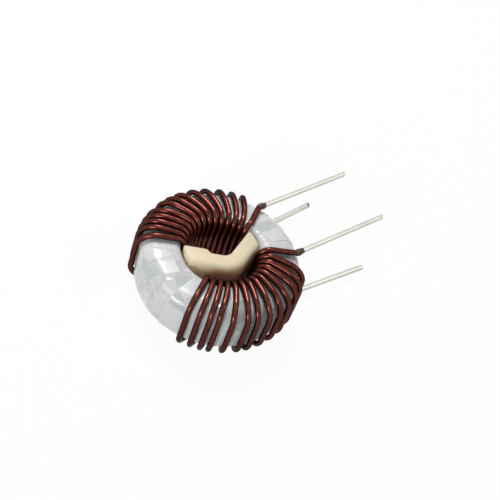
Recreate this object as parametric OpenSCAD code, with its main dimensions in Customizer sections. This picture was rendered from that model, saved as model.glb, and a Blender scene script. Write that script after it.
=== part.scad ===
// Common-mode choke: two enamelled-wire windings on a taped ferrite ring, kept apart by a bent divider.
// The ring lies flat with its axis along Z, and its four tinned lead ends point along +X.
// The origin is the centre of the part's footprint, on the surface that it lies on.

/* [Core] */
// Outside diameter of the ferrite ring
core_od = 25; // [22:0.5:30]
// Bore of the ferrite ring
core_id = 15; // [14:0.5:17]
// Height of the ferrite ring
core_h = 8.5; // [6:0.5:12]
// Rounding of the ring's outside edges
core_edge_r = 1.9; // [0.5:0.1:2.2]
// Rounding of the bore's edges
core_bore_edge_r = 0.6; // [0.3:0.1:1]

/* [Tape] */
// Number of laps of film around the ring
tape_wraps = 24; // [18:1:32]
// Build-up of the film on the outside wall
tape_side = 0.5; // [0.35:0.05:0.8]
// Build-up of the film on the two flat faces
tape_face = 0.5; // [0.35:0.05:0.8]
// Build-up of the film in the bore, where the laps crowd together
tape_bore = 0.85; // [0.6:0.05:1]
// Height of the step at the edge of each lap
tape_lap = 0.08; // [0.04:0.01:0.12]
// Rounding of the taped ring's outside edges
tape_edge_r = 2.4; // [2:0.1:2.8]
// Rounding of the taped bore's edges
tape_bore_edge_r = 1.2; // [0.9:0.1:1.5]

/* [Windings] */
// Diameter of the enamelled wire
wire_d = 0.95; // [0.6:0.05:1]
// Angle of the first turn of winding A on the outside wall, from the lead axis
turns_a_start = 39.8; // [36:0.1:44]
// Angle of the last turn of winding A
turns_a_end = 142.5; // [138:0.1:146]
// Angle half way along winding A in the bore
bore_a_mid = 80.1; // [79.8:0.1:80.4]
// Angle of the first turn of winding B on the outside wall, from the lead axis
turns_b_start = 45; // [40:0.1:48]
// Angle of the last turn of winding B
turns_b_end = 148.5; // [140:0.1:150]
// Angle half way along winding B in the bore
bore_b_mid = 88; // [86:0.5:90]

/* [Leads] */
// Diameter of the two upper tinned ends
lead_upper_d = 0.85; // [0.6:0.05:0.95]
// Diameter of the two lower tinned ends, with a heavier coat of solder
lead_lower_d = 0.95; // [0.6:0.05:1]
// Distance from the ring's axis to the tips of the upper leads
lead_upper_reach = 29.3; // [22:0.1:36]
// Distance from the ring's axis to the tips of the lower leads
lead_lower_reach = 27.8; // [20:0.1:34]
// Sideways place of winding A's upper lead
lead_a_upper_y = 4.6; // [4:0.1:5.5]
// Sideways place of winding B's upper lead
lead_b_upper_y = 5.9; // [5:0.1:6.4]
// Sideways place of both lower leads at the ring's wall
lead_lower_y = 6.8; // [6.6:0.1:7.6]
// Angle at which the lower leads spread apart
lead_lower_splay = 4; // [0:1:6]
// Angle at which the upper leads are snipped
lead_cut_angle = 35; // [0:1:50]

/* [Divider] */
// Thickness of the divider
divider_thick = 2.75; // [2:0.05:3]
// Inside radius of the divider's bend
divider_bend_r = 1.75; // [1:0.05:2.5]
// Direction of the arm that reaches to the side away from the leads
divider_far_angle = 143; // [138:1:150]
// Direction of the arm that reaches to the lead side
divider_near_angle = 25; // [22:1:26]
// Extra thickness of the far arm's outer part
divider_pad = 0.7; // [0.2:0.05:0.8]
// Distance from the bend to the step up to that outer part
divider_pad_start = 1.9; // [1:0.1:4]
// Height of the divider beyond the taped faces, at each end
divider_proud = 0.2; // [0:0.1:0.8]
// Rounding of the divider's edges on its hollow side
divider_edge_r = 0.3; // [0.1:0.05:0.6]
// Rounding of the divider's edges on its bulging side
divider_bulge_r = 1; // [0.3:0.05:1.2]

/* [Hidden] */
$fn = 64;

// Gap between the wire and what it lies on, and between neighbouring turns
wire_gap = 0.03;
// Gap between the divider's ends and the film in the bore
divider_gap = 0.03;
// Overrun of cutting tools
cut_over = 1;
// Sides of the wire's cross-section
wire_sides = 8;
// Steps in each of the wire's bends
bend_steps = 3;
// Steps around each rounded edge of the taped ring
tape_steps = 3;

// Places of the turns along each winding, from its first turn to its last
turn_a_shares = [0, 0.083, 0.175, 0.282, 0.378, 0.478, 0.557, 0.625, 0.732, 0.796, 0.854, 0.912, 1];
turn_b_shares = [0, 0.087, 0.164, 0.261, 0.348, 0.441, 0.533, 0.605, 0.705, 0.797, 0.855, 0.924, 1];

// Taped ring
tape_ro = core_od / 2 + tape_side;
tape_ri = core_id / 2 - tape_bore;
tape_h = core_h + 2 * tape_face;
lap_angle = 360 / tape_wraps;
// Share of a lap that its edge step takes up
lap_step_share = 0.06;
// The film lies in flat chords, which stand into the bore at the middle of each lap
bore_clear_r = (tape_ri - tape_lap) * cos(lap_angle / 2);

// Wire centreline around the taped ring
wire_r = wire_d / 2;
wire_off = tape_lap + wire_gap + wire_r;
wire_ro = tape_ro + wire_off;
wire_ri = bore_clear_r - wire_gap - wire_r;
wire_z = tape_h / 2 + wire_off;
bend_r = tape_edge_r + wire_off;
bore_bend_r = tape_bore_edge_r + wire_off;
bore_pitch = 2 * asin((wire_r + wire_gap / 2) / wire_ri);

// The lower leads run back under the turns, and the part lies on them
run_z = -wire_z - wire_d - wire_gap;
ring_z = wire_r - run_z;
footprint_x = (lead_upper_reach - tape_ro - tape_lap) / 2;

// The enamel of the upper leads ends over the ring's edge, and that of the lower leads just past its wall
upper_root_x = tape_ro - 1.4 * wire_d;
lower_root_x = tape_ro + wire_r;
// Straight enamelled stretch before each tinned end
root_run = 1.4 * wire_d;
// Length over which a lower lead climbs back to the ring's face
rise_run = 2 * wire_d;
// Rounding of the blunt tips of the lower leads
tip_r_share = 0.45;

// Divider outline: two straight arms joined by a bend, with their ends on the film in the bore
divider_seat_r = bore_clear_r - divider_gap;
divider_h = tape_h + 2 * divider_proud;
bend_centre_shares = [0.05, 0.10];
bend_centre = divider_seat_r * bend_centre_shares;
// Length of the slope up to the far arm's thicker part
pad_slope = 0.8 * divider_pad;
// Angle of the outward normal at each end of the bend
far_normal = divider_far_angle + 90;
near_normal = divider_near_angle + 270;
// Steps around the bend, across each end and around each rounded edge
turn_steps = 10;
end_steps = 5;
edge_steps = 3;

function smooth(t) = t * t * (3 - 2 * t);
function clamp(t) = min(1, max(0, t));
function polar(r, a, z) = [r * cos(a), r * sin(a), z];
function unit(v) = v / norm(v);
function around(p) = let(a = atan2(p[1], p[0])) [-sin(a), cos(a), 0];

// Wire centreline over one face of the ring, from the bore to the outside wall, as [radius, height]
function face_profile() = concat(
    [for (k = [0:bend_steps]) let(a = 180 - 90 * k / bend_steps)
        [wire_ri + bore_bend_r + bore_bend_r * cos(a), wire_z - bore_bend_r + bore_bend_r * sin(a)]],
    [for (k = [0:bend_steps]) let(a = 90 - 90 * k / bend_steps)
        [wire_ro - bend_r + bend_r * cos(a), wire_z - bend_r + bend_r * sin(a)]]);

// One strand over the upper (side 1) or lower (side -1) face, leaning from one angle to another
function strand(bore_angle, wall_angle, side) = [for (p = face_profile())
    let(t = (p[0] - wire_ri) / (wire_ro - wire_ri))
    polar(p[0], bore_angle + (wall_angle - bore_angle) * smooth(t), side * p[1])];

function reversed(list) = [for (k = [len(list) - 1:-1:0]) list[k]];

// Angle of pass k through the bore
function bore_angle(mid, count, k) = mid + (k - count / 2) * bore_pitch;

// The whole enamelled centreline as [point, sideways reference] pairs, from the upper lead to the lower one
function winding_path(shares, first, last, mid, upper_y) =
    let(
        count = len(shares),
        angles = [for (s = shares) first + s * (last - first)],
        upper = [[upper_root_x, upper_y, wire_z], [upper_root_x - root_run, upper_y, wire_z]],
        first_strand = strand(bore_angle(mid, count, 0), bore_angle(mid, count, 0), 1),
        dip = [for (k = [bend_steps:-1:0]) first_strand[k]],
        turns = [for (k = [1:count]) concat(
            strand(bore_angle(mid, count, k - 1), angles[k - 1], -1),
            reversed(strand(bore_angle(mid, count, k), angles[k - 1], 1)))],
        exit = polar(wire_ri, bore_angle(mid, count, count), 0),
        splay = toward(lead_lower_splay),
        root = [lower_root_x, lead_lower_y],
        run_end = root - (root_run + rise_run) * splay,
        run_dir = unit([run_end[0] - exit[0], run_end[1] - exit[1]]),
        bend = [for (k = [0:bend_steps]) let(a = 90 * k / bend_steps)
            [exit[0] + run_dir[0] * bend_r * (1 - cos(a)), exit[1] + run_dir[1] * bend_r * (1 - cos(a)),
             run_z + bend_r * (1 - sin(a))]],
        lower = concat(bend, [[run_end[0], run_end[1], run_z],
            [root[0] - root_run * splay[0], root[1] - root_run * splay[1], -wire_z], [root[0], root[1], -wire_z]])
    )
    concat(
        [for (p = upper) [p, around(p)]],
        [for (p = dip) [p, around(p)]],
        [for (turn = turns) for (p = turn) [p, around(p)]],
        [for (p = lower) [p, [-exit[1] / wire_ri / 2, -1, 0]]]);

// Round wire along a path of [point, sideways reference] pairs
module wire_along(path) {
    last = len(path) - 1;
    function heading(k) = unit(path[min(k + 1, last)][0] - path[max(k - 1, 0)][0]);
    function across(k) = let(t = heading(k), ref = path[k][1]) unit(ref - (ref * t) * t);
    points = [for (k = [0:last]) let(b = across(k), n = cross(heading(k), b)) for (j = [0:wire_sides - 1])
        path[k][0] + wire_r * (cos(360 * j / wire_sides) * b + sin(360 * j / wire_sides) * n)];
    function at(k, j) = k * wire_sides + j % wire_sides;
    faces = concat(
        [[for (j = [0:wire_sides - 1]) at(0, j)]],
        [for (k = [0:last - 1]) for (j = [0:wire_sides - 1]) each [
            [at(k, j), at(k + 1, j), at(k + 1, j + 1)],
            [at(k, j), at(k + 1, j + 1), at(k, j + 1)]]],
        [[for (j = [wire_sides - 1:-1:0]) at(last, j)]]);
    polyhedron(points, faces);
}

// Puts a piece built about the ring's centre into the part's frame
module placed() {
    translate([-footprint_x, 0, ring_z]) children();
}

module ring_section(ro, ri, h, edge_r, bore_edge_r) {
    mid = (ri + ro) / 2;
    translate([ri + bore_edge_r, -h / 2]) square([ro - ri - edge_r - bore_edge_r, h]);
    translate([ri, bore_edge_r - h / 2]) square([mid - ri, h - 2 * bore_edge_r]);
    translate([mid, edge_r - h / 2]) square([ro - mid, h - 2 * edge_r]);
    for (z = [-1, 1]) {
        translate([ri + bore_edge_r, z * (h / 2 - bore_edge_r)]) circle(bore_edge_r);
        translate([ro - edge_r, z * (h / 2 - edge_r)]) circle(edge_r);
    }
}

module core_ring() {
    rotate_extrude() ring_section(core_od / 2, core_id / 2, core_h, core_edge_r, core_bore_edge_r);
}

// Film laid round the ring in one spiral: each lap is a run of flat facets with a step at its leading edge
module film_body() {
    corners = [[tape_ro - tape_edge_r, 1, 0, tape_edge_r], [tape_ri + tape_bore_edge_r, 1, 90, tape_bore_edge_r],
               [tape_ri + tape_bore_edge_r, -1, 180, tape_bore_edge_r], [tape_ro - tape_edge_r, -1, 270, tape_edge_r]];
    section = [for (c = corners) for (k = [0:tape_steps])
        let(a = c[2] + 90 * k / tape_steps, centre = [c[0], c[1] * (tape_h / 2 - c[3])])
        [centre + c[3] * toward(a), toward(a)]];
    count = len(section);
    rows = 2 * tape_wraps;
    points = [for (row = [0:rows - 1]) for (j = [0:count - 1])
        let(lead = row % 2 == 0,
            turn = floor(row / 2) + j / count + (lead ? 0 : 1 - lap_step_share),
            p = section[j][0] + (lead ? tape_lap : 0) * section[j][1])
        polar(p[0], turn * lap_angle, p[1])];
    function at(row, j) = ((row + (j < count ? 0 : 2)) % rows) * count + j % count;
    faces = [for (row = [0:rows - 1]) for (j = [0:count - 1]) each [
        [at(row, j), at(row + 1, j + 1), at(row + 1, j)],
        [at(row, j), at(row, j + 1), at(row + 1, j + 1)]]];
    polyhedron(points, faces);
}

function toward(a) = [cos(a), sin(a)];
// Point where a line from p in direction d meets the seat in the bore
function on_seat(p, d) = p + d * (sqrt(pow(p * d, 2) - p * p + pow(divider_seat_r, 2)) - p * d);
// Seat of one end on the film, between two points of it
function seat_arc(p, q) = let(low = atan2(p[1], p[0]), span = atan2(q[1], q[0]) - low)
    [for (k = [0:end_steps]) divider_seat_r * toward(low + span * k / end_steps)];

// The divider's two long sides from its far end to its near end, bulging side and hollow side, point for point
function divider_rails() =
    let(
        far = toward(divider_far_angle),
        near = toward(divider_near_angle),
        outer_r = divider_bend_r + divider_thick,
        out_far = bend_centre + outer_r * toward(far_normal),
        out_near = bend_centre + outer_r * toward(near_normal),
        in_far = bend_centre + divider_bend_r * toward(far_normal),
        in_near = bend_centre + divider_bend_r * toward(near_normal),
        pad_far = in_far - divider_pad * toward(far_normal),
        pad_end = divider_pad_start + pad_slope,
        turns = [for (k = [0:turn_steps]) toward(far_normal + (near_normal - far_normal) * k / turn_steps)]
    )
    [concat([on_seat(out_far, far), out_far + pad_end * far, out_far + divider_pad_start * far],
            [for (t = turns) bend_centre + outer_r * t], [on_seat(out_near, near)]),
     concat([on_seat(pad_far, far), pad_far + pad_end * far, in_far + divider_pad_start * far],
            [for (t = turns) bend_centre + divider_bend_r * t], [on_seat(in_near, near)])];

// Bar between two long sides, with rounded upper and lower edges and ends that follow the seat in the bore
module rounded_bar(rails, h, outer_edge_r, inner_edge_r) {
    side = len(rails[0]);
    near_end = seat_arc(rails[0][side - 1], rails[1][side - 1]);
    far_end = seat_arc(rails[1][0], rails[0][0]);
    function within(list) = [for (k = [1:end_steps - 1]) list[k]];
    function blend(from, to) = [for (k = [1:end_steps - 1]) from + (to - from) * k / end_steps];
    function even(r) = [for (k = [1:side]) r];
    outline = concat(rails[0], within(near_end), reversed(rails[1]), within(far_end));
    radii = concat(even(outer_edge_r), blend(outer_edge_r, inner_edge_r), even(inner_edge_r), blend(inner_edge_r, outer_edge_r));
    count = len(outline);
    function inward(j) = let(d = unit(outline[(j + 1) % count] - outline[(j + count - 1) % count])) [-d[1], d[0]];
    // Inset and drop of each level, as shares of the edge's radius, with the end of the bar that it belongs to
    levels = concat(
        [for (k = [0:edge_steps]) let(a = 90 * k / edge_steps) [1 - sin(a), 1 - cos(a), -1]],
        [for (k = [0:edge_steps]) let(a = 90 * k / edge_steps) [1 - cos(a), 1 - sin(a), 1]]);
    last = len(levels) - 1;
    points = [for (level = levels) for (j = [0:count - 1])
        let(p = outline[j] + radii[j] * level[0] * inward(j)) [p[0], p[1], level[2] * (h / 2 - radii[j] * level[1])]];
    function at(k, j) = k * count + j % count;
    // One flat face as convex pieces: a strip between the long sides and a fan at each end
    inner_start = side + end_steps - 1;
    function inner(j) = inner_start + side - 1 - j;
    cap = concat(
        [for (j = [0:side - 2]) each [[j, j + 1, inner(j + 1)], [j, inner(j + 1), inner(j)]]],
        [for (j = [side:inner_start - 1]) [side - 1, j, j + 1]],
        [for (j = [inner_start + side - 1:count - 2]) [0, j, j + 1]]);
    faces = concat(
        [for (f = cap) [for (j = f) at(0, j)]],
        [for (k = [0:last - 1]) for (j = [0:count - 1]) each [
            [at(k, j), at(k + 1, j), at(k + 1, j + 1)],
            [at(k, j), at(k + 1, j + 1), at(k, j + 1)]]],
        [for (f = cap) [for (j = reversed(f)) at(last, j)]]);
    polyhedron(points, faces);
}

// Upper lead: a straight tinned end, snipped at a slant
module upper_lead(y) {
    length = lead_upper_reach - upper_root_x;
    translate([upper_root_x, y, wire_z]) difference() {
        rotate([0, 90, 0]) cylinder(h = length, d = lead_upper_d);
        translate([length, 0, lead_upper_d / 2]) rotate([0, lead_cut_angle, 0])
            translate([0, -cut_over, -2 * cut_over - lead_upper_d])
            cube([2 * cut_over, 2 * cut_over, 3 * cut_over + lead_upper_d]);
    }
}

// Lower lead: a straight tinned end with a blunt, rounded tip
module lower_lead() {
    tip_r = tip_r_share * lead_lower_d;
    length = lead_lower_reach - lower_root_x;
    translate([lower_root_x, lead_lower_y, -wire_z]) rotate([0, 90, lead_lower_splay]) rotate_extrude() {
        square([lead_lower_d / 2, length - tip_r]);
        square([lead_lower_d / 2 - tip_r, length]);
        intersection() {
            translate([lead_lower_d / 2 - tip_r, length - tip_r]) circle(tip_r);
            square([lead_lower_d / 2, length]);
        }
    }
}

module core() {
    color("#3a3a3c") placed() core_ring();
}

module tape_wrap() {
    color("#d6dade") placed() difference() {
        film_body();
        core_ring();
    }
}

module divider() {
    color("#e3d3b6") placed()
        rounded_bar(divider_rails(), divider_h, divider_bulge_r, divider_edge_r);
}

module winding_a() {
    color("#6b2a1c") placed()
        wire_along(winding_path(turn_a_shares, turns_a_start, turns_a_end, bore_a_mid, lead_a_upper_y));
}

module winding_b() {
    color("#6b2a1c") placed() mirror([0, 1, 0])
        wire_along(winding_path(turn_b_shares, turns_b_start, turns_b_end, bore_b_mid, lead_b_upper_y));
}

module lead_a_upper() {
    color("#cfcdc2") placed() upper_lead(lead_a_upper_y);
}

module lead_a_lower() {
    color("#cfcdc2") placed() lower_lead();
}

module lead_b_upper() {
    color("#cfcdc2") placed() mirror([0, 1, 0]) upper_lead(lead_b_upper_y);
}

module lead_b_lower() {
    color("#cfcdc2") placed() mirror([0, 1, 0]) lower_lead();
}

core();
tape_wrap();
divider();
winding_a();
winding_b();
lead_a_upper();
lead_a_lower();
lead_b_upper();
lead_b_lower();
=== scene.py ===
import math

import bmesh
import bpy
from mathutils import Matrix, Vector, noise


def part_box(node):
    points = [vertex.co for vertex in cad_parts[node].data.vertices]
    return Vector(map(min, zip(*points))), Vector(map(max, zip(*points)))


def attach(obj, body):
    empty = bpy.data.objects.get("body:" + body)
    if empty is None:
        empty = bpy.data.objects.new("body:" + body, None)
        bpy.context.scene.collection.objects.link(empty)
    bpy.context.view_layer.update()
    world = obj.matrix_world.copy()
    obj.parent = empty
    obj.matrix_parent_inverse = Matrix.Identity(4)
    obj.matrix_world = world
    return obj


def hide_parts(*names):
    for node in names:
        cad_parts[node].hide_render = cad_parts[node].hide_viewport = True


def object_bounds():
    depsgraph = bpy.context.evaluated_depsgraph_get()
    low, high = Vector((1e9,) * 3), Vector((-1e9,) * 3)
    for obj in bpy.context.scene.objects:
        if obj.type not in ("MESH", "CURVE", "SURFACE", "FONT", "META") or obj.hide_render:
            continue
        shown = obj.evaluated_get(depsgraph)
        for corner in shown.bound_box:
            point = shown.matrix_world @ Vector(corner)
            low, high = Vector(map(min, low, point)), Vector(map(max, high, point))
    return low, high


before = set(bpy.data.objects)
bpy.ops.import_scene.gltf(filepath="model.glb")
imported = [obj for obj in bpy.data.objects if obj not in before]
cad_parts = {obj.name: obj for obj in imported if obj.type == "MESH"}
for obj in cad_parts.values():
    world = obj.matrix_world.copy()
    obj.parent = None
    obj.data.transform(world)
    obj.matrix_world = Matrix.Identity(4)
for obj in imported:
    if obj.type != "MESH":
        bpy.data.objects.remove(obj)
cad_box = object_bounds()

# Studio: a sweep of white paper under soft light, photographed from above the side away from the leads.
# The camera leans, so the ring's axis tips to the right in the picture.
MM = 0.001
scene = bpy.context.scene
scene.view_settings.view_transform = "Standard"

core_low, core_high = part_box("core")
ring_centre = (core_low + core_high) / 2
camera_azimuth = math.radians(-51.0)
camera_elevation = math.radians(48.9)
camera_roll = math.radians(20.3)
camera_distance = 200 * MM
picture_px = 500
ring_px_across = 216.7
ring_px_down = 268.9
px_per_mm = 6.22
sensor_mm = 36

back = Vector((
    math.sin(camera_azimuth) * math.cos(camera_elevation),
    -math.cos(camera_azimuth) * math.cos(camera_elevation),
    math.sin(camera_elevation)))
level = Vector((math.cos(camera_azimuth), math.sin(camera_azimuth), 0.0))
upright = back.cross(level)
image_right = math.cos(camera_roll) * level + math.sin(camera_roll) * upright
image_up = -math.sin(camera_roll) * level + math.cos(camera_roll) * upright
aim_right = (picture_px / 2 - ring_px_across) / px_per_mm * MM
aim_up = (ring_px_down - picture_px / 2) / px_per_mm * MM
aim = ring_centre + image_right * aim_right + image_up * aim_up
eye = ring_centre + back * camera_distance
look = (eye - aim).normalized()
side = (image_right - look * image_right.dot(look)).normalized()
rise = look.cross(side)

camera = bpy.data.objects.new("camera", bpy.data.cameras.new("camera"))
scene.collection.objects.link(camera)
camera.matrix_world = Matrix.Translation(eye) @ Matrix((side, rise, look)).transposed().to_4x4()
camera.data.sensor_width = sensor_mm
camera.data.lens = sensor_mm * (camera_distance / MM) * px_per_mm / picture_px
camera.data.clip_start = 0.01
camera.data.clip_end = 20
scene.camera = camera


def tint(code):
    """sRGB hex to linear colour."""
    parts = [int(code[k:k + 2], 16) / 255 for k in (1, 3, 5)]
    linear = [c / 12.92 if c <= 0.04045 else ((c + 0.055) / 1.055) ** 2.4 for c in parts]
    return (*linear, 1.0)


def add(tree, kind, links=(), sets=(), **settings):
    """Adds one node: settings on the node, sets on its input sockets, links as (socket, source socket)."""
    node = tree.nodes.new(kind)
    for key, value in settings.items():
        setattr(node, key, value)
    for key, value in sets:
        node.inputs[key].default_value = value
    for key, source in links:
        tree.links.new(source, node.inputs[key])
    return node


def start_material(name):
    """A new material with an empty node tree."""
    material = bpy.data.materials.new(name)
    material.use_nodes = True
    material.node_tree.nodes.clear()
    return material, material.node_tree


def showing(tree):
    """1 for a ray that shows the background: from the camera, off a mirror, or through something clear."""
    ray = add(tree, "ShaderNodeLightPath")
    plain = add(tree, "ShaderNodeMath", [
        (0, ray.outputs["Is Camera Ray"]),
        (1, ray.outputs["Is Glossy Ray"])], operation="MAXIMUM")
    either = add(tree, "ShaderNodeMath", [
        (0, plain.outputs[0]),
        (1, ray.outputs["Is Transmission Ray"])], operation="MAXIMUM")
    return either.outputs[0]


full_white = (1.0, 1.0, 1.0, 1.0)
world = bpy.data.worlds.new("studio_white")
scene.world = world
world.use_nodes = True
world_tree = world.node_tree
world_tree.nodes.clear()
room = add(world_tree, "ShaderNodeBackground", sets=[("Color", tint("#f6f7f8")), ("Strength", 0.15)])
backdrop = add(world_tree, "ShaderNodeBackground", sets=[("Color", full_white), ("Strength", 1.0)])
around = add(world_tree, "ShaderNodeMixShader", [
    (0, showing(world_tree)), (1, room.outputs[0]), (2, backdrop.outputs[0])])
add(world_tree, "ShaderNodeOutputWorld", [("Surface", around.outputs[0])])

# Paper: matt and white all over, and the part's shadow shows on it only faintly
floor_half = 1.5
floor_drop = 0.05 * MM
shadow_share = 0.05
floor_mesh = bpy.data.meshes.new("floor")
floor_corners = [(x * floor_half, y * floor_half, 0) for x, y in ((-1, -1), (1, -1), (1, 1), (-1, 1))]
floor_mesh.from_pydata(floor_corners, [], [(0, 1, 2, 3)])
floor = bpy.data.objects.new("floor", floor_mesh)
scene.collection.objects.link(floor)
floor.location.z = -floor_drop
paper, paper_tree = start_material("white_sweep_paper")
glow = add(paper_tree, "ShaderNodeEmission", sets=[("Color", full_white), ("Strength", 1.0)])
matt = add(paper_tree, "ShaderNodeBsdfDiffuse", sets=[("Color", tint("#f6f6f6"))])
lit = add(paper_tree, "ShaderNodeMath", [(0, showing(paper_tree))], [(1, 1 - shadow_share)],
          operation="MULTIPLY")
sheet = add(paper_tree, "ShaderNodeMixShader", [
    (0, lit.outputs[0]), (1, matt.outputs[0]), (2, glow.outputs[0])])
add(paper_tree, "ShaderNodeOutputMaterial", [("Surface", sheet.outputs[0])])
floor_mesh.materials.append(paper)


def softbox(name, direction, distance, size, watts):
    """A square lamp that faces the ring from a direction."""
    data = bpy.data.lights.new(name, "AREA")
    data.shape = "SQUARE"
    data.size = size
    data.energy = watts
    lamp = bpy.data.objects.new(name, data)
    scene.collection.objects.link(lamp)
    lamp.location = ring_centre + direction.normalized() * distance
    lamp.rotation_mode = "QUATERNION"
    lamp.rotation_quaternion = (-direction).to_track_quat("-Z", "Y")


key_from = upright * 0.9 + back * 0.35 - level * 0.25
fill_from = back * 0.85 - level * 0.3 - upright * 0.45
lead_light_from = Vector((0.51, -0.41, 0.75))
softbox("key_softbox", key_from, distance=0.30, size=0.09, watts=0.62)
softbox("fill_softbox", fill_from, distance=0.35, size=0.11, watts=0.52)
softbox("lead_softbox", lead_light_from, distance=0.36, size=0.10, watts=0.12)


# Ring core: manganese-zinc ferrite powder, pressed into a ring and sintered hard.
# It is wholly under the film, so the CAD solid itself is kept.
ferrite_grain = 0.17 * MM
# Places of the two colours that a Mix node takes, and of the colour that it gives
MIX_A = 6
MIX_B = 7
MIXED = 2

# Sintered ferrite: dull, dark grey and slightly speckled.
# Its real grains are finer and are drawn coarse to show.
ferrite, core_tree = start_material("sintered_ferrite")
where = add(core_tree, "ShaderNodeTexCoord")
grain = add(core_tree, "ShaderNodeTexNoise", [("Vector", where.outputs["Object"])],
            [("Scale", 1 / ferrite_grain), ("Detail", 3.0)])
shade = add(core_tree, "ShaderNodeMix", [("Factor", grain.outputs["Fac"])],
            [(MIX_A, tint("#2b2b2d")), (MIX_B, tint("#47474a"))], data_type="RGBA")
skin = add(core_tree, "ShaderNodeBsdfPrincipled", [("Base Color", shade.outputs[MIXED])],
           [("Roughness", 0.7)])
add(core_tree, "ShaderNodeOutputMaterial", [("Surface", skin.outputs[0])])
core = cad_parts["core"]
core.data.materials.clear()
core.data.materials.append(ferrite)


# Insulating film: thin clear polyester tape, wound round the ring in one overlapping spiral.
# It is stretched tight, so it lies in flat bands with creases, and a step shows where each lap starts.
# From here on, a piece's sizes are millimetres from the ring's centre, and its mesh turns them to metres.
tape_ro = 13.0
tape_ri = 6.65
tape_h = 9.5
tape_edge = 2.4
bore_edge = 1.2
lap_height = 0.08
laps = 24
lap_steps = 6
corner_steps = 6
face_steps = 3
wall_steps = 6
riser_start = 0.97
riser_end = 1.15
broad_pucker = 0.035
broad_puckers_per_mm = 0.9
fine_pucker = 0.02
fine_puckers_per_mm = 2.2
pucker_room = 0.045
pattern_start = 18.06
pattern_shift = 3.7
film_sharp = math.radians(35)


def film_section():
    """Outline of the taped ring as (radius, height, normal), from the outer wall over the upper face."""
    face = tape_ro - tape_ri - tape_edge - bore_edge
    inner_wall = tape_h - 2 * bore_edge
    outer_wall = tape_h - 2 * tape_edge
    corners = (
        (tape_ro, -1, 1, 0, tape_edge, face, face_steps),
        (tape_ri, 1, 1, 90, bore_edge, inner_wall, wall_steps),
        (tape_ri, 1, -1, 180, bore_edge, face, face_steps),
        (tape_ro, -1, -1, 270, tape_edge, outer_wall, wall_steps))
    points = []
    for wall, inward, up, first, edge, length, steps in corners:
        for k in range(corner_steps + 1):
            a = math.radians(first + 90 * k / corner_steps)
            r = wall + inward * edge + edge * math.cos(a)
            z = up * (tape_h / 2 - edge) + edge * math.sin(a)
            points.append((r, z, math.cos(a), math.sin(a)))
        a = math.radians(first + 90)
        for k in range(1, steps):
            run = length * k / steps
            points.append((r - run * math.sin(a), z + run * math.cos(a), math.cos(a), math.sin(a)))
    return points


def pucker(spot, lap):
    """How far the film stands out or in at a spot. Each lap reads a new place in the noise."""
    broad_place = Vector((3.1, 0, lap * 7.0))
    fine_place = Vector((0, lap * 5.0, 1.7))
    broad = noise.noise(spot * broad_puckers_per_mm + broad_place)
    fine = noise.noise(spot * fine_puckers_per_mm + fine_place)
    return broad * broad_pucker + fine * fine_pucker


section = film_section()
count = len(section)
girth = [0.0]
for here, there in zip(section, section[1:] + section[:1]):
    girth.append(girth[-1] + math.hypot(here[0] - there[0], here[1] - there[1]))
film_points = []
for lap in range(laps):
    for step in range(lap_steps + 1):
        v = step / lap_steps * riser_start
        for j, (r, z, normal_r, normal_z) in enumerate(section):
            turn = (lap + v + girth[j] / girth[-1]) / laps * 2 * math.pi
            spot = Vector((math.cos(turn) * r, math.sin(turn) * r, z))
            off = lap_height * (1 - v) - pucker_room + pucker(spot, lap)
            far = r + normal_r * off
            film_points.append(Vector((far * math.cos(turn), far * math.sin(turn), z + normal_z * off)))

# The end of a row joins the start of the row one lap on, so the film is one closed spiral skin.
# Its UV map holds millimetres round the section and laps round the ring.
lap_rows = lap_steps + 1
total_rows = laps * lap_rows
film_faces = []
film_spots = []
for i in range(total_rows):
    lap, step = divmod(i, lap_rows)
    for j in range(count):
        row, column = (i, j + 1) if j + 1 < count else (i + lap_rows, 0)
        film_faces.append((
            i * count + j,
            (i + 1) % total_rows * count + j,
            (row + 1) % total_rows * count + column,
            row % total_rows * count + column))
        for di, dj in ((0, 0), (1, 0), (1, 1), (0, 1)):
            film_spots.append(girth[j + dj] + lap * pattern_shift + pattern_start)
            film_spots.append(lap + min((step + di) / lap_steps, riser_end))
film_mesh = bpy.data.meshes.new("film_laps")
film_mesh.from_pydata([p * MM + ring_centre for p in film_points], [], film_faces)
film_uv = film_mesh.uv_layers.new(name="lap")
film_uv.data.foreach_set("uv", film_spots)


def face_outwards(mesh):
    """Turns every face of a closed mesh to point out, and shades it smooth."""
    shell = bmesh.new()
    shell.from_mesh(mesh)
    bmesh.ops.recalc_face_normals(shell, faces=shell.faces)
    shell.to_mesh(mesh)
    shell.free()
    mesh.polygons.foreach_set("use_smooth", [True] * len(mesh.polygons))


face_outwards(film_mesh)
film_mesh.set_sharp_from_angle(angle=film_sharp)
film = bpy.data.objects.new("film_wrap", film_mesh)
scene.collection.objects.link(film)

milk_cloud = 2.4 * MM
milk_depth = 1.4 * MM
facets_per_mm = 0.2304
facets_per_lap = 0.85
facet_lift = 1.8 * MM
lap_line = 0.05
crease_half = 0.028

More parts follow.
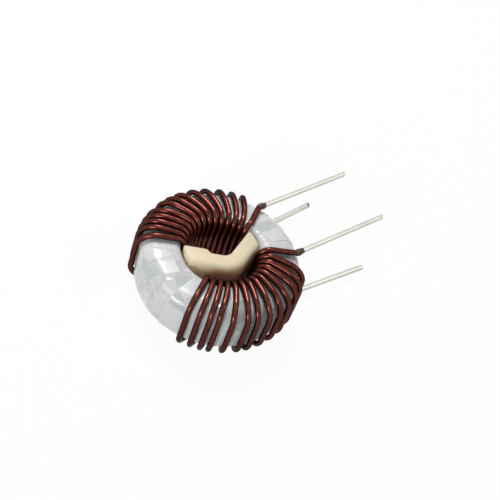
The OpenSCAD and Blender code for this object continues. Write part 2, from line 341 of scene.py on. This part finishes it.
# Polyester film in layers: each is clear and glossy, and together they look milky, with a pale line at
# each lap. Pulled tight, it breaks into flat facets about 4 mm long and a little wider than a lap. Each has
# its own tilt, grey and gloss, so they glint one by one. They meet in pale creases, which are finer on the
# real film and are drawn about 0.2 mm wide to show.
polyester, film_tree = start_material("clear_polyester_film_layers")
where = add(film_tree, "ShaderNodeTexCoord")
layers = add(film_tree, "ShaderNodeTexNoise", [("Vector", where.outputs["Object"])],
             [("Scale", 1 / milk_cloud), ("Detail", 3.0)])
milk = add(film_tree, "ShaderNodeMix", [("Factor", layers.outputs["Fac"])],
           [(MIX_A, tint("#d4d6d7")), (MIX_B, tint("#eaebeb"))], data_type="RGBA")
cells = add(film_tree, "ShaderNodeVectorMath", [(0, where.outputs["UV"])],
            [(1, (facets_per_mm, facets_per_lap, 1.0))], operation="MULTIPLY")
facet = add(film_tree, "ShaderNodeTexVoronoi", [("Vector", cells.outputs[0])], [("Scale", 1.0)],
            feature="F1")
chance = add(film_tree, "ShaderNodeSeparateXYZ", [("Vector", facet.outputs["Color"])])
depth = add(film_tree, "ShaderNodeMapRange", [("Value", chance.outputs["Z"])], [("To Max", 0.55)])
patched = add(film_tree, "ShaderNodeMix", [("Factor", depth.outputs[0]), (MIX_A, milk.outputs[MIXED])],
              [(MIX_B, tint("#a5aaae"))], data_type="RGBA")
place = add(film_tree, "ShaderNodeSeparateXYZ", [("Vector", where.outputs["UV"])])
in_lap = add(film_tree, "ShaderNodeMath", [(0, place.outputs["Y"])], operation="FRACT")
line = add(film_tree, "ShaderNodeMapRange", [("Value", in_lap.outputs[0])],
           [("From Max", lap_line), ("To Min", 0.55), ("To Max", 0.0)])
lined = add(film_tree, "ShaderNodeMix", [("Factor", line.outputs[0]), (MIX_A, patched.outputs[MIXED])],
            [(MIX_B, tint("#f6f7f8"))], data_type="RGBA")
fold = add(film_tree, "ShaderNodeTexVoronoi", [("Vector", cells.outputs[0])], [("Scale", 1.0)],
           feature="DISTANCE_TO_EDGE")
crease = add(film_tree, "ShaderNodeMapRange", [("Value", fold.outputs["Distance"])],
             [("From Max", crease_half), ("To Min", 0.35), ("To Max", 0.0)])
creased = add(film_tree, "ShaderNodeMix", [("Factor", crease.outputs[0]), (MIX_A, lined.outputs[MIXED])],
              [(MIX_B, tint("#f4f5f6"))], data_type="RGBA")
tilt = add(film_tree, "ShaderNodeVectorMath", [(0, facet.outputs["Color"])],
           [(1, (0.5, 0.5, 0.5))], operation="SUBTRACT")
away = add(film_tree, "ShaderNodeVectorMath", [(0, cells.outputs[0]), (1, facet.outputs["Position"])],
           operation="SUBTRACT")
slope = add(film_tree, "ShaderNodeVectorMath", [(0, tilt.outputs[0]), (1, away.outputs[0])],
            operation="DOT_PRODUCT")
bump = add(film_tree, "ShaderNodeBump", [("Height", slope.outputs["Value"])],
           [("Strength", 0.9), ("Distance", facet_lift)])
gloss = add(film_tree, "ShaderNodeMapRange", [("Value", chance.outputs["X"])],
            [("To Min", 0.18), ("To Max", 0.45)])
skin = add(film_tree, "ShaderNodeBsdfPrincipled", [
    ("Base Color", creased.outputs[MIXED]),
    ("Roughness", gloss.outputs[0]),
    ("Normal", bump.outputs[0])], [
    ("IOR", 1.55),
    ("Subsurface Weight", 0.45),
    ("Subsurface Scale", milk_depth),
    ("Subsurface Radius", (1.0, 1.0, 1.0)),
    ("Coat Weight", 0.15),
    ("Coat Roughness", 0.08)])
add(film_tree, "ShaderNodeOutputMaterial", [("Surface", skin.outputs[0])])
film_mesh.materials.append(polyester)
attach(film, "root")
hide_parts("tape_wrap")


# Divider: a bar of cream nylon, cut off a strip and bent to stand in the hole between the windings.
# Its two arms press on the film, the far one through a thicker pad, and its edges are soft.
seat_r = 6.484
bar_h = 9.9
bar_thick = 2.75
bend_in = 1.75
bend_at = Vector((0.05, 0.10)) * seat_r
bend_steps = 20
far_angle = 143.0
near_angle = 25.0
pad = 0.7
pad_start = 1.9
pad_slope = 0.56
hollow_edge = 0.3
bulge_edge = 1.0
end_edge = (bulge_edge + hollow_edge) / 2
edge_steps = 5
corner_r = 0.4
corner_r_inset = 0.3 * corner_r
corner_most = 0.45
corner_angle = math.radians(20)
ease_steps = 4
bar_sharp = math.radians(32)


def heading(a):
    """The direction at an angle in degrees."""
    return Vector((math.cos(math.radians(a)), math.sin(math.radians(a))))


def to_seat(p, d):
    """From a point along a direction to the wall of the hole."""
    along = p.dot(d)
    return p + d * (math.sqrt(along ** 2 - p.dot(p) + seat_r ** 2) - along)


def seat_middle(p, q):
    """The point on the wall of the hole midway between two others on it."""
    return (p + q).normalized() * seat_r


far_arm = heading(far_angle)
near_arm = heading(near_angle)
bend_first = far_angle + 90
bend_last = near_angle + 270
bend = [heading(bend_first + (bend_last - bend_first) * k / bend_steps) for k in range(bend_steps + 1)]
bulge = [bend_at + (bend_in + bar_thick) * d for d in bend]
bulge = [to_seat(bulge[0], far_arm)] + bulge + [to_seat(bulge[-1], near_arm)]
hollow = [bend_at + bend_in * d for d in bend]
pad_foot = hollow[0] + pad_start * far_arm
pad_top = hollow[0] - pad * heading(bend_first) + (pad_start + pad_slope) * far_arm
hollow = [to_seat(pad_top, far_arm), pad_top, pad_foot] + hollow + [to_seat(hollow[-1], near_arm)]
outline = [(p, bulge_edge) for p in bulge]
outline += [(seat_middle(bulge[-1], hollow[-1]), end_edge)]
outline += [(p, hollow_edge) for p in reversed(hollow)]
outline += [(seat_middle(hollow[0], bulge[0]), end_edge)]


def drawn_in(loop, share):
    """The outline moved inwards by a share of each point's edge radius, corners kept."""
    moved = []
    for k, (p, edge) in enumerate(loop):
        before = (p - loop[k - 1][0]).normalized()
        after = (loop[(k + 1) % len(loop)][0] - p).normalized()
        a = Vector((-before.y, before.x))
        b = Vector((-after.y, after.x))
        moved.append(p + (a + b) / (1 + a.dot(b)) * edge * share)
    return moved


def curved(p, q, r, radius, steps):
    """A short curve from p's side to r's side in place of the corner q."""
    start = q + (p - q).normalized() * min(radius, (p - q).length * corner_most)
    stop = q + (r - q).normalized() * min(radius, (r - q).length * corner_most)
    shares = [k / steps for k in range(steps + 1)]
    return [start * (1 - t) ** 2 + q * 2 * t * (1 - t) + stop * t * t for t in shares]


bends_of = [
    (p - outline[k - 1][0]).angle(outline[(k + 1) % len(outline)][0] - p)
    for k, (p, edge) in enumerate(outline)]
quarter = [math.pi / 2 * k / edge_steps for k in range(edge_steps + 1)]
levels = [(1 - math.sin(a), 1 - math.cos(a), -1) for a in quarter]
levels += [(1 - math.cos(a), 1 - math.sin(a), 1) for a in quarter]
bar = bmesh.new()
rings = []
for inset, drop, end in levels:
    loop = drawn_in(outline, inset)
    radius = corner_r + (corner_r_inset - corner_r) * inset
    ring = []
    for k, (p, edge) in enumerate(outline):
        spots = [loop[k]]
        if bends_of[k] > corner_angle:
            spots = curved(loop[k - 1], loop[k], loop[(k + 1) % len(loop)], radius, ease_steps)
        ring += [bar.verts.new((q.x, q.y, end * (bar_h / 2 - edge * drop))) for q in spots]
    rings.append(ring)
bar.faces.new(list(reversed(rings[0])))
bar.faces.new(rings[-1])
for low, high in zip(rings, rings[1:]):
    for k in range(len(low)):
        n = (k + 1) % len(low)
        bar.faces.new((low[k], low[n], high[n], high[k]))
bar.normal_update()
bmesh.ops.triangulate(bar, faces=[f for f in bar.faces if len(f.verts) > 4], ngon_method="EAR_CLIP")
for v in bar.verts:
    v.co = v.co * MM + ring_centre
divider_mesh = bpy.data.meshes.new("divider_bar")
bar.to_mesh(divider_mesh)
bar.free()
divider_mesh.polygons.foreach_set("use_smooth", [True] * len(divider_mesh.polygons))
divider_mesh.set_sharp_from_angle(angle=bar_sharp)
divider = bpy.data.objects.new("divider_bar", divider_mesh)
scene.collection.objects.link(divider)

nylon_cloud = 3.8 * MM
nylon_grit = 0.4 * MM
nylon_depth = 2.8 * MM

# Nylon, cut and bent: a warm cream with faint clouds, a dull skin, and light that soaks in at the edges.
# The grit that the cutter leaves is finer than this and is drawn coarse to show.
nylon, bar_tree = start_material("cream_nylon")
where = add(bar_tree, "ShaderNodeTexCoord")
cloud = add(bar_tree, "ShaderNodeTexNoise", [("Vector", where.outputs["Object"])],
            [("Scale", 1 / nylon_cloud), ("Detail", 4.0)])
grit = add(bar_tree, "ShaderNodeTexNoise", [("Vector", where.outputs["Object"])],
           [("Scale", 1 / nylon_grit), ("Detail", 2.0)])
shade = add(bar_tree, "ShaderNodeMix", [("Factor", cloud.outputs["Fac"])],
            [(MIX_A, tint("#decaa5")), (MIX_B, tint("#ecdcc0"))], data_type="RGBA")
bump = add(bar_tree, "ShaderNodeBump", [("Height", grit.outputs["Fac"])],
           [("Strength", 0.15), ("Distance", 0.05 * MM)])
skin = add(bar_tree, "ShaderNodeBsdfPrincipled", [
    ("Base Color", shade.outputs[MIXED]),
    ("Normal", bump.outputs[0])], [
    ("Roughness", 0.5),
    ("IOR", 1.53),
    ("Subsurface Weight", 0.85),
    ("Subsurface Scale", nylon_depth),
    ("Subsurface Radius", (1.0, 0.75, 0.5))])
add(bar_tree, "ShaderNodeOutputMaterial", [("Surface", skin.outputs[0])])
divider_mesh.materials.append(nylon)
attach(divider, "root")
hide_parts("divider")


# Windings: two lengths of thick enamelled copper wire, each wound by hand in one layer of spaced turns.
# Each starts at an upper lead, goes down the hole and round the ring turn by turn, and runs back
# underneath to its lower lead.
wire_d = 0.95
wire_gap = 0.03
wire_sides = 14
wire_off = lap_height + wire_gap + wire_d / 2
wire_ro = tape_ro + wire_off
wire_ri = (tape_ri - lap_height) * math.cos(math.pi / laps) - wire_gap - wire_d / 2
wire_z = tape_h / 2 + wire_off
wall_bend = tape_edge + wire_off
bore_bend = bore_edge + wire_off
strand_bends = 7
strand_flats = 4
route_steps = 5
bore_spare = 0.015
bore_pitch = 2 * math.asin((wire_d / 2 + bore_spare) / wire_ri)
return_z = -wire_z - wire_d - wire_gap
root_run = 1.4 * wire_d
upper_root = tape_ro - root_run
upper_bend = 0.9
lower_root = tape_ro + wire_d / 2
lower_bend = 0.8
lower_y = 6.8
lower_splay = 4.0
upper_y_a = 4.6
upper_y_b = 5.9
# Degrees round the ring: the middle of each winding in the hole, and where each turn crosses the outer wall
bore_middle_a = 80.1
bore_middle_b = 88.0
turns_a = (39.8, 48.32, 57.77, 68.76, 78.62, 88.89, 97.0, 103.99, 114.98, 121.55, 127.51, 133.46, 142.5)
turns_b = (45.0, 54.0, 61.97, 72.01, 81.02, 90.64, 100.17, 107.62, 117.97, 127.49, 133.49, 140.63, 148.5)


def ease(t):
    """A smooth step from 0 to 1."""
    return t * t * (3 - 2 * t)


def strand(bore, wall, up):
    """Centreline over one face of the ring, from an angle in the hole to an angle on the outer wall."""
    profile = []
    for k in range(strand_bends + 1):
        a = math.pi - math.pi / 2 * k / strand_bends
        r = wire_ri + bore_bend + bore_bend * math.cos(a)
        profile.append((r, wire_z - bore_bend + bore_bend * math.sin(a)))
    first = profile[-1][0]
    last = wire_ro - wall_bend
    profile += [(first + (last - first) * k / strand_flats, wire_z) for k in range(1, strand_flats)]
    for k in range(strand_bends + 1):
        a = math.pi / 2 - math.pi / 2 * k / strand_bends
        profile.append((last + wall_bend * math.cos(a), wire_z - wall_bend + wall_bend * math.sin(a)))
    points = []
    for r, z in profile:
        a = bore + (wall - bore) * ease((r - wire_ri) / (wire_ro - wire_ri))
        points.append(Vector((r * math.cos(a), r * math.sin(a), up * z)))
    return points


def rounded(points, radius):
    """A run of straight stretches with its corners softened."""
    out = [points[0]]
    for p, q, r in zip(points, points[1:], points[2:]):
        out += curved(p, q, r, radius, route_steps)
    return out + [points[-1]]


def winding_route(turns, bore_middle, upper_y):
    """Centreline of a whole winding, from its upper lead's root to its lower lead's root."""
    first_bore = math.radians(bore_middle) - len(turns) / 2 * bore_pitch
    bores = [first_bore + k * bore_pitch for k in range(len(turns) + 1)]
    dive = list(reversed(strand(bores[0], bores[0], 1)[:strand_bends + 1]))
    top = Vector((upper_root, upper_y, wire_z))
    straight = Vector((upper_root - root_run, upper_y, wire_z))
    route = rounded([top, straight, dive[0], dive[1]], upper_bend)[:-1] + dive[1:]
    for k, turn in enumerate(turns):
        wall = math.radians(turn)
        route += strand(bores[k], wall, -1)
        route += list(reversed(strand(bores[k + 1], wall, 1)))
    leave = Vector((wire_ri * math.cos(bores[-1]), wire_ri * math.sin(bores[-1]), 0))
    spread = Vector((*heading(lower_splay), 0))
    root = Vector((lower_root, lower_y, -wire_z))
    end = Vector((lower_root, lower_y, 0)) - spread * (root_run + 2 * wire_d)
    run = (end - leave).normalized()
    for k in range(strand_bends + 1):
        a = math.pi / 2 * k / strand_bends
        height = return_z + wall_bend * (1 - math.sin(a))
        route.append(leave + run * wall_bend * (1 - math.cos(a)) + Vector((0, 0, height)))
    under = Vector((end.x, end.y, return_z))
    route += rounded([route[-1], under, root - spread * root_run, root], lower_bend)[1:]
    return route


wire_tree = bpy.data.node_groups.new("wire_along_route", "GeometryNodeTree")
for label, way, kind in (
        ("Route", "INPUT", "NodeSocketGeometry"),
        ("Wire diameter", "INPUT", "NodeSocketFloat"),
        ("Sides", "INPUT", "NodeSocketInt"),
        ("Enamel", "INPUT", "NodeSocketMaterial"),
        ("Wire", "OUTPUT", "NodeSocketGeometry")):
    wire_tree.interface.new_socket(label, in_out=way, socket_type=kind)
given = add(wire_tree, "NodeGroupInput")
path = add(wire_tree, "GeometryNodeMeshToCurve", [("Mesh", given.outputs["Route"])])
half = add(wire_tree, "ShaderNodeMath", [(0, given.outputs["Wire diameter"])], [(1, 0.5)],
           operation="MULTIPLY")
rim = add(wire_tree, "GeometryNodeCurvePrimitiveCircle", [
    ("Resolution", given.outputs["Sides"]), ("Radius", half.outputs[0])])
tube = add(wire_tree, "GeometryNodeCurveToMesh", [
    ("Curve", path.outputs[0]), ("Profile Curve", rim.outputs[0])], [("Fill Caps", True)])
smooth = add(wire_tree, "GeometryNodeSetShadeSmooth", [("Geometry", tube.outputs[0])])
real = add(wire_tree, "GeometryNodeRealizeInstances", [("Geometry", smooth.outputs[0])])
dressed = add(wire_tree, "GeometryNodeSetMaterial", [
    ("Geometry", real.outputs[0]), ("Material", given.outputs["Enamel"])])
add(wire_tree, "NodeGroupOutput", [("Wire", dressed.outputs[0])])

enamel_mottle = 1.4 * MM
die_marks = 0.24 * MM

# Wire enamel over drawn copper: a clear, glossy red-brown coat, so the metal's shine comes through it
# dark red, with thin lights along each turn and dark edges. The marks that the drawing die leaves are
# finer than this and are drawn coarse to show.
enamel, wire_finish = start_material("red_brown_wire_enamel")
where = add(wire_finish, "ShaderNodeTexCoord")
mottle = add(wire_finish, "ShaderNodeTexNoise", [("Vector", where.outputs["Object"])],
             [("Scale", 1 / enamel_mottle), ("Detail", 4.0)])
marks = add(wire_finish, "ShaderNodeTexNoise", [("Vector", where.outputs["Object"])],
            [("Scale", 1 / die_marks), ("Detail", 2.0)])
shade = add(wire_finish, "ShaderNodeMix", [("Factor", mottle.outputs["Fac"])],
            [(MIX_A, tint("#34140e")), (MIX_B, tint("#6a2f22"))], data_type="RGBA")
rough = add(wire_finish, "ShaderNodeMapRange", [("Value", mottle.outputs["Fac"])],
            [("From Min", 0.35), ("From Max", 0.65), ("To Min", 0.16), ("To Max", 0.26)])
bump = add(wire_finish, "ShaderNodeBump", [("Height", marks.outputs["Fac"])],
           [("Strength", 0.12), ("Distance", 0.04 * MM)])
skin = add(wire_finish, "ShaderNodeBsdfPrincipled", [
    ("Base Color", shade.outputs[MIXED]),
    ("Roughness", rough.outputs[0]),
    ("Normal", bump.outputs[0])], [
    ("Metallic", 1.0),
    ("Specular Tint", tint("#1c0c08")),
    ("Coat Weight", 0.25),
    ("Coat Roughness", 0.1)])
add(wire_finish, "ShaderNodeOutputMaterial", [("Surface", skin.outputs[0])])


def wind(name, node, route):
    """One winding: a round wire along its route, in place of the CAD node."""
    guide = bpy.data.meshes.new(name + "_route")
    steps = [(k, k + 1) for k in range(len(route) - 1)]
    guide.from_pydata([p * MM + ring_centre for p in route], steps, [])
    piece = bpy.data.objects.new(name, guide)
    scene.collection.objects.link(piece)
    modifier = piece.modifiers.new("wire", "NODES")
    modifier.node_group = wire_tree
    sockets = wire_tree.interface.items_tree
    inputs = {socket.name: socket.identifier for socket in sockets if socket.in_out == "INPUT"}
    modifier[inputs["Wire diameter"]] = wire_d * MM
    modifier[inputs["Sides"]] = wire_sides
    modifier[inputs["Enamel"]] = enamel
    bpy.context.view_layer.update()
    made = bpy.data.meshes.new_from_object(piece.evaluated_get(bpy.context.evaluated_depsgraph_get()))
    piece.modifiers.clear()
    piece.data = made
    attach(piece, "root")
    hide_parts(node)


route_a = winding_route(turns_a, bore_middle_a, upper_y_a)
route_b = [Vector((p.x, -p.y, p.z)) for p in winding_route(turns_b, bore_middle_b, upper_y_b)]
wind("enamelled_winding_a", "winding_a", route_a)
wind("enamelled_winding_b", "winding_b", route_b)


# Scorched enamel: each upper end was stripped in a solder bath, which burnt the last of its enamel.
# It stays on the wire as a ragged, blistered dark collar between the red-brown coat and the bright tin.
lead_r = 0.425
collar_back = 1.5
collar_out = 0.25
collar_rows = 12
collar_sides = 18
collar_ragged = 0.8
collar_tuck = 0.05
taper_from = 0.6
crust_thick = 0.1
crust_swell = 0.12
blisters_along = 4.0
blisters_round = 1.3
rags_round = 1.9
crust_size = 0.33 * MM

# Burnt enamel: nearly black with red-brown left in places, blistered, and glossy only here and there.
# Real blisters are about 0.15 mm across and are drawn coarser to show.
burnt, crust_tree = start_material("burnt_wire_enamel")
where = add(crust_tree, "ShaderNodeTexCoord")
crust = add(crust_tree, "ShaderNodeTexNoise", [("Vector", where.outputs["Object"])],
            [("Scale", 1 / crust_size), ("Detail", 3.0)])
char = add(crust_tree, "ShaderNodeMapRange", [("Value", crust.outputs["Fac"])],
           [("From Min", 0.4), ("From Max", 0.62)])
shade = add(crust_tree, "ShaderNodeMix", [("Factor", char.outputs[0])],
            [(MIX_A, tint("#120806")), (MIX_B, tint("#4a1c14"))], data_type="RGBA")
rough = add(crust_tree, "ShaderNodeMapRange", [("Value", crust.outputs["Fac"])],
            [("From Min", 0.3), ("From Max", 0.7), ("To Min", 0.3), ("To Max", 0.65)])
bump = add(crust_tree, "ShaderNodeBump", [("Height", crust.outputs["Fac"])],
           [("Strength", 0.6), ("Distance", 0.1 * MM)])
skin = add(crust_tree, "ShaderNodeBsdfPrincipled", [
    ("Base Color", shade.outputs[MIXED]),
    ("Roughness", rough.outputs[0]),
    ("Normal", bump.outputs[0])])
add(crust_tree, "ShaderNodeOutputMaterial", [("Surface", skin.outputs[0])])


def scorch(name, y):
    """A blistered collar round an upper lead's root, closed at both ends inside the wire."""
    verts = []
    for i in range(collar_rows + 1):
        t = i / collar_rows
        for j in range(collar_sides):
            a = 2 * math.pi * j / collar_sides
            rim_spot = Vector((0, math.cos(a), math.sin(a)))
            blister = noise.noise(rim_spot * blisters_round + Vector((t * blisters_along, y, 0)))
            ragged = noise.noise(rim_spot * rags_round + Vector((y * 3.0, 0, 7.0)))
            r = wire_d / 2 + (crust_thick + crust_swell * blister) * math.sin(math.pi * t)
            r += (lead_r - r) * ease(max(0.0, (t - taper_from) / (1 - taper_from)))
            if i == 0:
                r = wire_d / 2 - collar_tuck
            if i == collar_rows:
                r = lead_r - collar_tuck
            reach = collar_back + collar_out * (1 + collar_ragged * ragged)
            middle = Vector((upper_root - collar_back + reach * t, y, wire_z))
            verts.append((middle + rim_spot * r) * MM + ring_centre)
    faces = []
    for i in range(collar_rows):
        this_row = i * collar_sides
        next_row = this_row + collar_sides
        for j in range(collar_sides):
            n = (j + 1) % collar_sides
            faces.append((this_row + j, this_row + n, next_row + n, next_row + j))
    faces.append(tuple(reversed(range(collar_sides))))
    faces.append(tuple(range(collar_rows * collar_sides, len(verts))))
    mesh = bpy.data.meshes.new(name)
    mesh.from_pydata(verts, [], faces)
    face_outwards(mesh)
    mesh.materials.append(burnt)
    piece = bpy.data.objects.new(name, mesh)
    scene.collection.objects.link(piece)
    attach(piece, "root")


scorch("scorched_enamel_a", upper_y_a)
scorch("scorched_enamel_b", -upper_y_b)


# Leads: the bare ends of the same wire, dipped in solder for the board.
# The CAD solids keep their true round shape and the slanted or blunt cut at the tip.
lead_names = ("lead_a_upper", "lead_a_lower", "lead_b_upper", "lead_b_lower")
# Length of the painted shade at a lead's tip, and the grain of its ragged edge
tip_shade_length = 0.75 * MM
tip_shade_grain = 0.4 * MM
solder_ripple = 4.0 * MM


def tinned_copper(name, shade_from):
    """The finish of a lead, with painted shade, a dark grey smear, past a place along it."""
    finish, tree = start_material(name)
    where = add(tree, "ShaderNodeTexCoord")
    ripple = add(tree, "ShaderNodeTexNoise", [("Vector", where.outputs["Object"])],
                 [("Scale", 1 / solder_ripple), ("Detail", 1.0)])
    shade = add(tree, "ShaderNodeMix", [("Factor", ripple.outputs["Fac"])],
                [(MIX_A, tint("#b9b7ac")), (MIX_B, tint("#d3d1c8"))], data_type="RGBA")
    place = add(tree, "ShaderNodeSeparateXYZ", [("Vector", where.outputs["Object"])])
    specks = add(tree, "ShaderNodeTexNoise", [("Vector", where.outputs["Object"])],
                 [("Scale", 1 / tip_shade_grain), ("Detail", 2.0)])
    ragged = add(tree, "ShaderNodeMath", [(0, specks.outputs["Fac"]), (2, place.outputs["X"])],
                 [(1, tip_shade_length)], operation="MULTIPLY_ADD")
    # Painted shade: past a place along the lead the tin turns dark grey, with a ragged edge.
    tip_shade = add(tree, "ShaderNodeMapRange", [("Value", ragged.outputs[0])],
               [("From Min", shade_from + tip_shade_length / 2), ("From Max", shade_from + tip_shade_length)])
    tip_shaded = add(tree, "ShaderNodeMix", [("Factor", tip_shade.outputs[0]), (MIX_A, shade.outputs[MIXED])],
                  [(MIX_B, tint("#3a3834"))], data_type="RGBA")
    bump = add(tree, "ShaderNodeBump", [("Height", ripple.outputs["Fac"])],
               [("Strength", 0.06), ("Distance", 0.08 * MM)])
    skin = add(tree, "ShaderNodeBsdfPrincipled", [
        ("Base Color", tip_shaded.outputs[MIXED]),
        ("Normal", bump.outputs[0])], [("Metallic", 1.0), ("Roughness", 0.3)])
    add(tree, "ShaderNodeOutputMaterial", [("Surface", skin.outputs[0])])
    return finish


# Tinned copper: a bright, slightly warm grey metal with slow ripples where the solder ran and set.
# One lower lead ends in painted shade, a dark smear at its blunt tip, and on the others the smear would lie
# past the tip.
bright_tin = tinned_copper("tinned_copper", cad_box[1].x + tip_shade_length)
tin_with_painted_tip_shade = tinned_copper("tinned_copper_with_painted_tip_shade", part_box("lead_a_lower")[1].x - tip_shade_length)
for name in lead_names:
    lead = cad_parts[name]
    lead.data.materials.clear()
    lead.data.materials.append(tin_with_painted_tip_shade if name == "lead_a_lower" else bright_tin)
